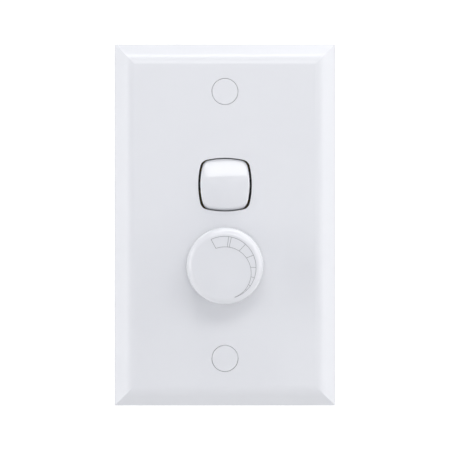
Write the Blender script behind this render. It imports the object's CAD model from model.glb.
import math

import bmesh
import bpy
from mathutils import Matrix, Vector


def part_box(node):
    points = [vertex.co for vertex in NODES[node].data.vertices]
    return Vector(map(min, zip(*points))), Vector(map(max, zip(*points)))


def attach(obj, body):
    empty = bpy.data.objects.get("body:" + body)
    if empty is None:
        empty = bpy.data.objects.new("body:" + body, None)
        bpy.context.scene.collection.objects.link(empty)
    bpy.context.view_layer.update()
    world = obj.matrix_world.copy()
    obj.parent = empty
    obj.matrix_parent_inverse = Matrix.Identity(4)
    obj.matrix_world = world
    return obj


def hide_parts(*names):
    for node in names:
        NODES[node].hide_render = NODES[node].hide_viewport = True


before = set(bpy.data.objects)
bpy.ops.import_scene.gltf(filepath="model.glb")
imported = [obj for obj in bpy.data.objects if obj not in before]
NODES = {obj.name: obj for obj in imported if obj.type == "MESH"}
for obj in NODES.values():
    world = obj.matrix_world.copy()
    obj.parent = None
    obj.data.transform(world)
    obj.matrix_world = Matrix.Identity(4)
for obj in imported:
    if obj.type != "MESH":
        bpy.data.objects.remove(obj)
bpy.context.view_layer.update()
MM = 0.001


# ---------------------------------------------------------------- places read from the CAD frame

def centre(node):
    low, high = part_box(node)
    return (low + high) / 2


def size(node):
    low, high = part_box(node)
    return high - low


PLATE_LOW, PLATE_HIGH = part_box("front_plate")
KNOB_CENTRE = centre("knob")
KNOB_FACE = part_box("knob")[0].y
KNOB_RADIUS = size("knob").x / 2


# ---------------------------------------------------------------- materials

MOTTLE_PER_METRE = 90
SMEARS_PER_METRE = 260
TARNISH_PER_METRE = 350
STREAKS_PER_METRE = 3000
STREAK_DEPTH = 0.00001
FIBRES_PER_METRE = 900
GLASS_SMEARS_PER_METRE = 900
PLASTIC_IOR = 1.47
SPREAD_OVER = (0.3, 0.7)                         # the noise values that give a range's two ends
TONES_OVER = (0.35, 0.65)                        # the noise values that give a mottle's two colours


def shader_tree(name):
    """A new material with its principled shader and object-space coordinates."""
    material = bpy.data.materials.new(name)
    material.use_nodes = True
    nodes = material.node_tree.nodes
    shader = nodes["Principled BSDF"]
    places = nodes.new("ShaderNodeTexCoord").outputs["Object"]
    return material, nodes, material.node_tree.links, shader, places


def noise(nodes, links, places, per_metre, detail=3.0, stretch=None):
    """Noise whose features are about 1 / per_metre in size; stretch draws it out along axes."""
    if stretch:
        mapping = nodes.new("ShaderNodeMapping")
        mapping.inputs["Scale"].default_value = stretch
        links.new(places, mapping.inputs["Vector"])
        places = mapping.outputs["Vector"]
    texture = nodes.new("ShaderNodeTexNoise")
    texture.inputs["Scale"].default_value = per_metre
    texture.inputs["Detail"].default_value = detail
    links.new(places, texture.inputs["Vector"])
    return texture.outputs["Fac"]


def spread(nodes, links, value, low, high):
    """A noise value spread over the range from low to high."""
    ranged = nodes.new("ShaderNodeMapRange")
    ranged.inputs["From Min"].default_value = SPREAD_OVER[0]
    ranged.inputs["From Max"].default_value = SPREAD_OVER[1]
    ranged.inputs["To Min"].default_value = low
    ranged.inputs["To Max"].default_value = high
    links.new(value, ranged.inputs["Value"])
    return ranged.outputs["Result"]


def two_tone(nodes, links, value, first, second):
    """A colour between two colours, chosen by a noise value."""
    ramp = nodes.new("ShaderNodeValToRGB")
    ramp.color_ramp.elements[0].position = TONES_OVER[0]
    ramp.color_ramp.elements[0].color = (*first, 1.0)
    ramp.color_ramp.elements[1].position = TONES_OVER[1]
    ramp.color_ramp.elements[1].color = (*second, 1.0)
    links.new(value, ramp.inputs["Fac"])
    return ramp.outputs["Color"]


def bump(nodes, links, shader, value, depth):
    """Surface relief of a real depth in metres."""
    relief = nodes.new("ShaderNodeBump")
    relief.inputs["Distance"].default_value = depth
    relief.inputs["Strength"].default_value = 1.0
    links.new(value, relief.inputs["Height"])
    links.new(relief.outputs["Normal"], shader.inputs["Normal"])


def plastic(name, light, dark, roughness, grain, relief, gloss=0.5):
    """Moulded plastic: slight mottling, roughness that varies, and fine surface relief.

    Roughness is (lowest, highest); grain is the relief's features per metre and relief its depth in metres.
    """
    material, nodes, links, shader, places = shader_tree(name)
    mottle = noise(nodes, links, places, MOTTLE_PER_METRE, detail=4)
    links.new(two_tone(nodes, links, mottle, light, dark), shader.inputs["Base Color"])
    smears = noise(nodes, links, places, SMEARS_PER_METRE, detail=5)
    links.new(spread(nodes, links, smears, *roughness), shader.inputs["Roughness"])
    bump(nodes, links, shader, noise(nodes, links, places, grain, detail=2), relief)
    shader.inputs["IOR"].default_value = PLASTIC_IOR
    shader.inputs["Specular IOR Level"].default_value = gloss
    return material


def metal(name, light, dark, roughness, stretch=(1, 1, 1)):
    """Metal with drawn or brushed streaks, tarnish and uneven shine."""
    material, nodes, links, shader, places = shader_tree(name)
    tarnish = noise(nodes, links, places, TARNISH_PER_METRE, detail=5)
    links.new(two_tone(nodes, links, tarnish, light, dark), shader.inputs["Base Color"])
    streaks = noise(nodes, links, places, STREAKS_PER_METRE, detail=3, stretch=stretch)
    links.new(spread(nodes, links, streaks, *roughness), shader.inputs["Roughness"])
    bump(nodes, links, shader, streaks, STREAK_DEPTH)
    shader.inputs["Metallic"].default_value = 1.0
    return material


WHITE = plastic("plate_white_plastic", (0.783, 0.789, 0.808), (0.789, 0.795, 0.813), (0.19, 0.25),
                700, 0.000003, gloss=0.38)
GLOSS = plastic("polished_white_plastic", (0.762, 0.768, 0.788), (0.774, 0.780, 0.799), (0.045, 0.08),
                500, 0.000001, gloss=0.68)
IVORY = plastic("satin_white_plastic", (0.70, 0.70, 0.67), (0.74, 0.74, 0.71), (0.38, 0.52),
                5200, 0.00002)
BLACK = plastic("black_moulded_plastic", (0.018, 0.018, 0.02), (0.030, 0.030, 0.033), (0.34, 0.5),
                6500, 0.00003)
ZINC = metal("zinc_plated_steel", (0.58, 0.59, 0.61), (0.47, 0.49, 0.53), (0.22, 0.40))
SPRING = metal("spring_steel", (0.40, 0.40, 0.42), (0.30, 0.30, 0.33), (0.18, 0.32))
BRASS = metal("stamped_brass", (0.80, 0.58, 0.25), (0.68, 0.45, 0.17), (0.22, 0.42))
SILVER = metal("silver_contact", (0.82, 0.81, 0.79), (0.66, 0.64, 0.60), (0.18, 0.36))
COPPER = metal("enamelled_copper", (0.72, 0.26, 0.09), (0.58, 0.19, 0.06), (0.16, 0.26))
ALUMINIUM = metal("rolled_aluminium", (0.74, 0.75, 0.77), (0.64, 0.65, 0.68), (0.26, 0.42),
                  stretch=(1, 0.08, 1))
FERRITE = plastic("painted_iron_core", (0.62, 0.58, 0.14), (0.55, 0.50, 0.10), (0.42, 0.6),
                  4200, 0.00003)
FILM_YELLOW = plastic("yellow_film_capacitor", (0.78, 0.55, 0.06), (0.72, 0.49, 0.04), (0.22, 0.34),
                      4000, 0.00001)
FILM_ORANGE = plastic("dipped_orange_capacitor", (0.62, 0.16, 0.03), (0.52, 0.12, 0.02), (0.12, 0.22),
                      1600, 0.00002)
CERAMIC = plastic("resistor_ceramic", (0.60, 0.45, 0.26), (0.54, 0.39, 0.21), (0.34, 0.5),
                  3800, 0.00002)
PRINT = plastic("grey_pad_print", (0.26, 0.265, 0.275), (0.31, 0.315, 0.325), (0.30, 0.42),
                4000, 0.000002)


def board_laminate():
    """Phenolic board: brown paper laminate with faint fibres."""
    material, nodes, links, shader, places = shader_tree("phenolic_board")
    fibres = noise(nodes, links, places, FIBRES_PER_METRE, detail=6, stretch=(0.12, 1, 1))
    browns = two_tone(nodes, links, fibres, (0.30, 0.15, 0.05), (0.36, 0.19, 0.07))
    links.new(browns, shader.inputs["Base Color"])
    links.new(spread(nodes, links, fibres, 0.30, 0.5), shader.inputs["Roughness"])
    bump(nodes, links, shader, fibres, 0.00001)
    return material


def fuse_glass():
    """Clear tube glass in the middle, nickel caps at both ends."""
    material, nodes, links, shader, places = shader_tree("fuse_glass_and_caps")
    low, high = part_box("fuse")
    cap_length = 3.7 * MM
    split = nodes.new("ShaderNodeSeparateXYZ")
    links.new(places, split.inputs["Vector"])
    offset = nodes.new("ShaderNodeMath")
    offset.operation = "SUBTRACT"
    offset.inputs[1].default_value = (low.z + high.z) / 2
    links.new(split.outputs["Z"], offset.inputs[0])
    distance = nodes.new("ShaderNodeMath")
    distance.operation = "ABSOLUTE"
    links.new(offset.outputs[0], distance.inputs[0])
    on_cap = nodes.new("ShaderNodeMath")
    on_cap.operation = "GREATER_THAN"
    on_cap.inputs[1].default_value = (high.z - low.z) / 2 - cap_length
    links.new(distance.outputs[0], on_cap.inputs[0])
    links.new(on_cap.outputs[0], shader.inputs["Metallic"])
    tone = nodes.new("ShaderNodeMix")
    tone.data_type = "RGBA"
    links.new(on_cap.outputs[0], tone.inputs["Factor"])
    tone.inputs["A"].default_value = (0.55, 0.60, 0.60, 1.0)
    tone.inputs["B"].default_value = (0.62, 0.62, 0.64, 1.0)
    links.new(tone.outputs["Result"], shader.inputs["Base Color"])
    smears = noise(nodes, links, places, GLASS_SMEARS_PER_METRE, detail=4)
    links.new(spread(nodes, links, smears, 0.06, 0.16), shader.inputs["Roughness"])
    bump(nodes, links, shader, smears, 0.000004)
    return material


FINISHES = {
    WHITE: ["front_plate", "upper_screw_cap", "lower_screw_cap"],
    GLOSS: ["rocker", "knob"],
    IVORY: ["rocker_plunger", "switch_base", "dimmer_cover", "pot_wiper"],
    BLACK: ["switch_housing", "dimmer_case", "triac"],
    ZINC: ["fixing_screws", "switch_clamp_screws", "case_screws", "dimmer_clamp_screws", "potentiometer",
           "dimmer_shaft", "bush_washer", "triac_screw"],
    SPRING: ["plunger_spring", "knob_clip"],
    BRASS: ["common_terminal", "first_terminal", "second_terminal", "loop_terminal", "moving_contact",
            "active_terminal", "load_terminal", "spare_terminal", "bush_nut", "fuse_clips"],
    SILVER: ["fixed_contacts"],
    COPPER: ["choke_winding"],
    ALUMINIUM: ["heat_sink"],
    FERRITE: ["choke_core"],
    FILM_YELLOW: ["suppression_capacitor"],
    FILM_ORANGE: ["timing_capacitors"],
    CERAMIC: ["resistors", "diac"],
    board_laminate(): ["circuit_board", "pot_track"],
    fuse_glass(): ["fuse"],
}
for material, names in FINISHES.items():
    for name in names:
        NODES[name].data.materials.clear()
        NODES[name].data.materials.append(material)


# ---------------------------------------------------------------- pieces made here

# a block's faces, for its corners listed by x, then y, then z, each from low to high
BLOCK_FACES = ((0, 1, 3, 2), (4, 5, 7, 6), (0, 1, 5, 4), (2, 3, 7, 6), (0, 2, 6, 4), (1, 3, 7, 5))
CREASE = math.radians(40)                        # edges sharper than this stay sharp in smooth shading


def bare(name, vertices, faces):
    """An object whose faces point outwards and which isn't a piece yet."""
    mesh = bpy.data.meshes.new(name)
    mesh.from_pydata(vertices, [], faces)
    tidy = bmesh.new()
    tidy.from_mesh(mesh)
    bmesh.ops.recalc_face_normals(tidy, faces=tidy.faces)
    tidy.to_mesh(mesh)
    tidy.free()
    thing = bpy.data.objects.new(name, mesh)
    bpy.context.scene.collection.objects.link(thing)
    return thing


def piece(name, vertices, faces, material, body, slot, smooth=True):
    """A mesh piece that rides on a CAD body and has one of the record's material slots."""
    thing = bare(name, vertices, faces)
    thing.data.materials.append(material)
    if smooth:
        thing.data.shade_smooth()
    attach(thing, body)
    return thing


# ---- the knob: a turned shell with a faintly domed face that rolls over into the side

KNOB_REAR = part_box("knob")[1].y
DOME_RADIUS = 260 * MM
ROLL_WIDTH = 2.4 * MM                            # the roll-over, seen from the front
ROLL_DEPTH = 2.7 * MM
KNOB_TAPER = 0.06 * MM                           # the side leans in by this much
KNOB_SHELL = 2.2 * MM
CAVITY_RADIUS = 10.3 * MM
BOSS_RADIUS = 5.2 * MM
BOSS_REAR = KNOB_REAR - 3.3 * MM
BORE_RADIUS = 3.06 * MM
BORE_END = KNOB_FACE + 2.1 * MM
REAR_EDGE = 0.25 * MM
FLAT_RADIUS = KNOB_RADIUS - KNOB_TAPER - ROLL_WIDTH
KNOB_SIDES = 128
ROLL_STEPS = 18
EDGE_STEPS = 3
FACE_RINGS = 8


def face_depth(distance):
    """How far behind its middle the knob's face is, at a distance from the axis."""
    dome = min(distance, FLAT_RADIUS) ** 2 / (2 * DOME_RADIUS)
    share = max(0.0, distance - FLAT_RADIUS) / ROLL_WIDTH
    return dome + ROLL_DEPTH * (1 - math.sqrt(max(0.0, 1 - share ** 2)))


def knob_profile():
    """(radius, y) points from the bore's end, round the hollow and the outside, to the face's middle."""
    cavity_floor = KNOB_FACE + KNOB_SHELL
    points = [(0, BORE_END), (BORE_RADIUS, BORE_END), (BORE_RADIUS, BOSS_REAR), (BOSS_RADIUS, BOSS_REAR),
              (BOSS_RADIUS, cavity_floor), (CAVITY_RADIUS, cavity_floor), (CAVITY_RADIUS, KNOB_REAR),
              (KNOB_RADIUS - REAR_EDGE, KNOB_REAR)]
    for step in range(1, EDGE_STEPS + 1):
        angle = math.radians(90 / EDGE_STEPS * step)
        points.append((KNOB_RADIUS - REAR_EDGE * (1 - math.sin(angle)),
                       KNOB_REAR - REAR_EDGE * (1 - math.cos(angle))))
    for step in range(ROLL_STEPS + 1):
        angle = math.radians(90 - 90 / ROLL_STEPS * step)
        radius = FLAT_RADIUS + ROLL_WIDTH * math.sin(angle)
        points.append((radius, KNOB_FACE + face_depth(FLAT_RADIUS) + ROLL_DEPTH * (1 - math.cos(angle))))
    for step in range(FACE_RINGS - 1, 0, -1):
        radius = FLAT_RADIUS * step / FACE_RINGS
        points.append((radius, KNOB_FACE + face_depth(radius)))
    points.append((0, KNOB_FACE))
    return points


def turned(profile, middle):
    """Vertices and faces of a profile turned about an axis along Y; its ends are on the axis."""
    vertices = [(middle.x, profile[0][1], middle.z)]
    for radius, y in profile[1:-1]:
        for i in range(KNOB_SIDES):
            angle = 2 * math.pi * i / KNOB_SIDES
            vertices.append((middle.x + radius * math.cos(angle), y, middle.z + radius * math.sin(angle)))
    vertices.append((middle.x, profile[-1][1], middle.z))
    rings = len(profile) - 2
    faces = []
    for i in range(KNOB_SIDES):
        j = (i + 1) % KNOB_SIDES
        faces.append((0, 1 + i, 1 + j))
        for k in range(rings - 1):
            inner, outer = 1 + k * KNOB_SIDES, 1 + (k + 1) * KNOB_SIDES
            faces.append((inner + i, inner + j, outer + j, outer + i))
        last = 1 + (rings - 1) * KNOB_SIDES
        faces.append((last + i, last + j, len(vertices) - 1))
    return vertices, faces


def knob_shell():
    """The knob's outside and hollow, in place of the CAD knob."""
    shell = piece("knob_shell", *turned(knob_profile(), KNOB_CENTRE), GLOSS, "knob", "white_gloss")
    shell.data.set_sharp_from_angle(angle=CREASE)
    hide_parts("knob")


knob_shell()


# ---- the printed scale on the knob's face: a wedge between two arcs, divided like a fan

PRINT_RAISE = 0.02 * MM
PRINT_LINE = 0.13 * MM
OUTER_ARC = (-0.1 * MM, -0.5 * MM, 9.69 * MM)    # centre x and z from the knob's axis, radius
INNER_ARC = (0.0, -2.13 * MM, 8.08 * MM)
SCALE_START = -27.5                              # degrees clockwise from the top, about the knob's axis
SCALE_END = 163.0
DIVIDERS = (7.0, 12.4, 43.0, 69.0, 92.5, 112.0, 128.0, 138.0)
ARC_STEPS = 120
DIVIDER_STEPS = 6


def reach_to_arc(arc, degrees):
    """Distance from the knob's axis to an arc, in a direction given clockwise from the top."""
    x, z, radius = arc
    direction = Vector((math.sin(math.radians(degrees)), math.cos(math.radians(degrees))))
    along = direction.x * x + direction.y * z
    return along + math.sqrt(along ** 2 + radius ** 2 - x ** 2 - z ** 2)


def on_face(degrees, distance):
    """A point on the knob's face as (x, z) from its axis, in a direction given clockwise from the top."""
    angle = math.radians(degrees)
    return Vector((math.sin(angle) * distance, math.cos(angle) * distance))


def ink_line(points, vertices, faces):
    """A thin printed line through points on the knob's face."""
    first = len(vertices)
    for i, point in enumerate(points):
        along = (points[min(i + 1, len(points) - 1)] - points[max(i - 1, 0)]).normalized()
        across = Vector((-along.y, along.x)) * PRINT_LINE / 2
        for edge in (point + across, point - across):
            vertices.append((KNOB_CENTRE.x + edge.x, KNOB_FACE + face_depth(edge.length) - PRINT_RAISE,
                             KNOB_CENTRE.z + edge.y))
    for i in range(len(points) - 1):
        corner = first + 2 * i
        faces.append((corner, corner + 1, corner + 3, corner + 2))


def printed_scale():
    """Both arcs and all dividers as one printed piece."""
    vertices, faces = [], []
    turns = [SCALE_START + (SCALE_END - SCALE_START) * i / ARC_STEPS for i in range(ARC_STEPS + 1)]
    for arc in (OUTER_ARC, INNER_ARC):
        ink_line([on_face(turn, reach_to_arc(arc, turn)) for turn in turns], vertices, faces)
    for turn in (SCALE_START,) + DIVIDERS:
        near, far = (reach_to_arc(arc, turn) for arc in (INNER_ARC, OUTER_ARC))
        points = [on_face(turn, near + (far - near) * i / DIVIDER_STEPS) for i in range(DIVIDER_STEPS + 1)]
        ink_line(points, vertices, faces)
    piece("knob_scale_print", vertices, faces, PRINT, "knob", "resistor_body", smooth=False)


printed_scale()


# ---- black caps over the rocker's pivot pins, seen as part of the dark gap

PIVOT_CAP_DEPTHS = (-7.38 * MM, -7.22 * MM)      # front and rear
PIVOT_CAP_HALF = 1.7 * MM
PIVOT_CAP_REACH = (7.86 * MM, 8.75 * MM)


def pivot_caps():
    """One small block on each side of the rocker."""
    rocker_middle = centre("switch_housing").z
    vertices, faces = [], []
    for side in (-1, 1):
        first = len(vertices)
        vertices += [(side * x, y, rocker_middle + z) for x in PIVOT_CAP_REACH
                     for y in PIVOT_CAP_DEPTHS for z in (-PIVOT_CAP_HALF, PIVOT_CAP_HALF)]
        faces += [tuple(first + i for i in face) for face in BLOCK_FACES]
    piece("pivot_caps", vertices, faces, BLACK, "plate", "black_plastic", smooth=False)


pivot_caps()


# ---- fixing screws: slotted domed heads and helical threads

SCREW_LOW, SCREW_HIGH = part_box("fixing_screws")
HEAD_RADIUS = (SCREW_HIGH.x - SCREW_LOW.x) / 2
HEAD_HEIGHT = 2.2 * MM
HEAD_DOME = 0.55 * MM
DRIVE_SLOT = 0.9 * MM
DRIVE_DEPTH = 1.1 * MM
NECK_RADIUS = 1.5 * MM
NECK_LENGTH = 2.4 * MM
THREAD_CREST = 1.75 * MM
THREAD_ROOT = 1.38 * MM
THREAD_PITCH = 0.7 * MM
POINT_LENGTH = 1.2 * MM
SCREW_SIDES = 40
HEAD_FLAT = 0.82                                 # share of the head's radius before its rounded edge
DOME_RINGS = 5
HEAD_EDGE_STEPS = 6
RINGS_PER_PITCH = 8
POINT_SHARE = 0.45                               # the point's end, as a share of the full thickness
RUN_IN_SHARE = 0.1                               # the thread's height where it starts, as a share
RIDGE_FALL = 2.4                                 # how fast the ridge falls away from its crest
RIDGE_CUT = 1.15                                 # the ridge is this much too high, then cut flat
SLOT_OVERRUN = 1.2                               # how far the slot's cutter reaches, in head radii
SLOT_TURNS = {"upper": 24, "lower": -51}         # degrees the slots are turned from level


def rings_to_mesh(rings):
    """Vertices and faces of a closed round shape; each ring is (y, a function from angle to radius)."""
    angles = [2 * math.pi * i / SCREW_SIDES for i in range(SCREW_SIDES)]
    vertices = [(math.cos(angle) * radius(angle), y, math.sin(angle) * radius(angle))
                for y, radius in rings for angle in angles]
    faces = []
    for k in range(len(rings) - 1):
        here, there = k * SCREW_SIDES, (k + 1) * SCREW_SIDES
        for i in range(SCREW_SIDES):
            j = (i + 1) % SCREW_SIDES
            faces.append((here + i, here + j, there + j, there + i))
    faces.append(tuple(range(SCREW_SIDES)))
    faces.append(tuple(range(len(vertices) - SCREW_SIDES, len(vertices))))
    return vertices, faces


def plain(radius):
    """The same radius at every angle."""
    return lambda angle: radius


def head_rings():
    """A domed head with a rounded edge; its front is at y = 0."""
    flat = HEAD_RADIUS * HEAD_FLAT
    edge = HEAD_RADIUS - flat
    rings = [(HEAD_DOME * (step / DOME_RINGS) ** 2, plain(flat * step / DOME_RINGS))
             for step in range(1, DOME_RINGS + 1)]
    for step in range(1, HEAD_EDGE_STEPS + 1):
        angle = math.radians(90 / HEAD_EDGE_STEPS * step)
        rings.append((HEAD_DOME + edge * (1 - math.cos(angle)), plain(flat + edge * math.sin(angle))))
    rings.append((HEAD_HEIGHT, plain(HEAD_RADIUS)))
    return rings


def thread_rings():
    """Neck, helical thread and blunt point behind the head."""
    start = HEAD_HEIGHT + NECK_LENGTH
    length = SCREW_HIGH.y - SCREW_LOW.y - start
    rings = [(HEAD_HEIGHT, plain(NECK_RADIUS)), (start - THREAD_PITCH / 2, plain(NECK_RADIUS))]
    count = round(length / THREAD_PITCH * RINGS_PER_PITCH)
    for step in range(count + 1):
        y = start + length * step / count
        taper = min(1.0, POINT_SHARE + (1 - POINT_SHARE) * (length - (y - start)) / POINT_LENGTH)
        run_in = min(1.0, (y - start) / THREAD_PITCH + RUN_IN_SHARE)

        def radius(angle, y=y, taper=taper, run_in=run_in):
            phase = (y / THREAD_PITCH - angle / (2 * math.pi)) % 1.0
            ridge = max(0.0, 1 - abs(phase - 0.5) * RIDGE_FALL) * run_in
            return min(THREAD_CREST, THREAD_ROOT + (THREAD_CREST - THREAD_ROOT) * ridge * RIDGE_CUT) * taper

        rings.append((y, radius))
    return rings


def slotted_head():
    """Vertices and faces of the head with its screwdriver slot cut out."""
    head = bare("head_blank", *rings_to_mesh(head_rings()))
    reach, half, deep = HEAD_RADIUS * SLOT_OVERRUN, DRIVE_SLOT / 2, DRIVE_DEPTH
    corners = [(x, y, z) for x in (-reach, reach) for y in (-MM, deep) for z in (-half, half)]
    cutter = bare("slot_cutter", corners, BLOCK_FACES)
    carve = head.modifiers.new("slot", "BOOLEAN")
    carve.operation = "DIFFERENCE"
    carve.solver = "EXACT"
    carve.object = cutter
    bpy.context.view_layer.update()
    cut_head = bpy.data.meshes.new_from_object(head.evaluated_get(bpy.context.evaluated_depsgraph_get()))
    vertices = [tuple(v.co) for v in cut_head.vertices]
    faces = [tuple(f.vertices) for f in cut_head.polygons]
    for thing in (head, cutter):
        bpy.data.objects.remove(thing)
    return vertices, faces


def fixing_screw_meshes():
    """Both screws, in place of the CAD's plain ones."""
    heights = {"upper": SCREW_HIGH.z - HEAD_RADIUS, "lower": SCREW_LOW.z + HEAD_RADIUS}
    for word, slot_turn in SLOT_TURNS.items():
        turn = Matrix.Rotation(math.radians(slot_turn), 3, "Y")
        front = Vector(((SCREW_LOW.x + SCREW_HIGH.x) / 2, SCREW_LOW.y, heights[word]))
        vertices, faces = [], []
        for part_vertices, part_faces in (slotted_head(), rings_to_mesh(thread_rings())):
            first = len(vertices)
            vertices += [tuple(turn @ Vector(v) + front) for v in part_vertices]
            faces += [tuple(first + i for i in face) for face in part_faces]
        screw = piece("threaded_screw_" + word, vertices, faces, ZINC, "plate", "zinc_steel")
        screw.data.set_sharp_from_angle(angle=CREASE)
        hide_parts("fixing_screws")


fixing_screw_meshes()


# ---- moulded and stamped CAD pieces get the small edge radii of the real ones

SOFTENED_ABOVE = math.radians(50)                # only edges sharper than this are rounded
EDGE_RADII = {
    0.18 * MM: ["switch_housing", "switch_base", "dimmer_case", "dimmer_cover", "suppression_capacitor",
                "triac"],
    0.12 * MM: ["common_terminal", "first_terminal", "second_terminal", "loop_terminal", "active_terminal",
                "load_terminal", "spare_terminal", "heat_sink", "circuit_board", "fuse_clips"],
}


def soften_edges():
    """A bevel modifier on each named CAD piece; their meshes stay unchanged."""
    for radius, names in EDGE_RADII.items():
        for name in names:
            edge = NODES[name].modifiers.new("edge_radius", "BEVEL")
            edge.width = radius
            edge.segments = 2
            edge.limit_method = "ANGLE"
            edge.angle_limit = SOFTENED_ABOVE
            edge.use_clamp_overlap = True
            edge.harden_normals = True


soften_edges()


# ---------------------------------------------------------------- floor, backdrop, lights and camera

def plane(name, corners, material):
    """A stage plane that isn't part of the object."""
    mesh = bpy.data.meshes.new(name)
    mesh.from_pydata(corners, [], [(0, 1, 2, 3)])
    mesh.materials.append(material)
    thing = bpy.data.objects.new(name, mesh)
    bpy.context.scene.collection.objects.link(thing)


def glowing(name, strength):
    """A material that only gives off light."""
    material = bpy.data.materials.new(name)
    material.use_nodes = True
    nodes = material.node_tree.nodes
    nodes.remove(nodes["Principled BSDF"])
    glow = nodes.new("ShaderNodeEmission")
    glow.inputs["Strength"].default_value = strength
    material.node_tree.links.new(glow.outputs[0], nodes["Material Output"].inputs["Surface"])
    return material


def floor_paint():
    """Matt pale grey."""
    material = bpy.data.materials.new("pale_floor")
    material.use_nodes = True
    shader = material.node_tree.nodes["Principled BSDF"]
    shader.inputs["Base Color"].default_value = (0.8, 0.8, 0.8, 1)
    shader.inputs["Roughness"].default_value = 0.9
    return material


FLOOR_LEVEL = PLATE_LOW.z - 0.10
FLOOR_SIDE = 1.5
FLOOR_NEAR = -1.5
FLOOR_FAR = 0.6
BACKDROP_HALF = 3
BACKDROP_AWAY = 2.5
plane("floor", [(-FLOOR_SIDE, FLOOR_NEAR, FLOOR_LEVEL), (FLOOR_SIDE, FLOOR_NEAR, FLOOR_LEVEL),
                (FLOOR_SIDE, FLOOR_FAR, FLOOR_LEVEL), (-FLOOR_SIDE, FLOOR_FAR, FLOOR_LEVEL)], floor_paint())
plane("backdrop", [(x * BACKDROP_HALF, BACKDROP_AWAY, z * BACKDROP_HALF)
                   for x, z in ((-1, -1), (1, -1), (1, 1), (-1, 1))], glowing("white_backdrop", 1.1))


WARM = (1.0, 0.995, 0.98)


def softbox(name, place, aim, width, height, power):
    """A faintly warm rectangular area light that faces a point; power is in watts."""
    lamp = bpy.data.lights.new(name, "AREA")
    lamp.shape = "RECTANGLE"
    lamp.size = width
    lamp.size_y = height
    lamp.energy = power
    lamp.color = WARM
    thing = bpy.data.objects.new(name, lamp)
    bpy.context.scene.collection.objects.link(thing)
    thing.location = place
    thing.rotation_euler = (Vector(aim) - Vector(place)).to_track_quat("-Z", "Y").to_euler()


world = bpy.data.worlds.new("studio")
bpy.context.scene.world = world
world.use_nodes = True
world.node_tree.nodes["Background"].inputs["Color"].default_value = (0.93, 0.96, 1.08, 1)
world.node_tree.nodes["Background"].inputs["Strength"].default_value = 0.39

# the key is placed so that the upper part of the tipped rocker mirrors it and the lower part doesn't
softbox("key_above", (0.10, -0.60, 0.336), (0, 0, 0.01), 0.52, 0.17, 1.08)
softbox("top_strip", (0.08, -0.08, 0.75), (0, 0, 0), 0.9, 0.16, 2.1)
softbox("upper_right", (0.55, -0.20, 0.62), (0, 0, 0), 0.4, 0.4, 1.5)
softbox("side_right", (0.9, -0.25, 0.0), (0, 0, 0), 0.7, 1.0, 3.6)
softbox("side_left", (-0.9, -0.25, 0.0), (0, 0, 0), 0.7, 1.0, 5.2)

FRAME_WIDTH = 0.1433                             # what the camera sees across, at the wall surface
CAMERA_DISTANCE = 0.75                           # from the wall surface
SENSOR_WIDTH = 36
camera_data = bpy.data.cameras.new("camera")
camera_data.sensor_width = SENSOR_WIDTH
camera_data.lens = SENSOR_WIDTH * CAMERA_DISTANCE / FRAME_WIDTH
camera = bpy.data.objects.new("camera", camera_data)
bpy.context.scene.collection.objects.link(camera)
camera.location = ((PLATE_LOW.x + PLATE_HIGH.x) / 2, -CAMERA_DISTANCE, (PLATE_LOW.z + PLATE_HIGH.z) / 2)
camera.rotation_euler = (math.radians(90), 0, 0)
bpy.context.scene.camera = camera
bpy.context.scene.view_settings.view_transform = "Standard"
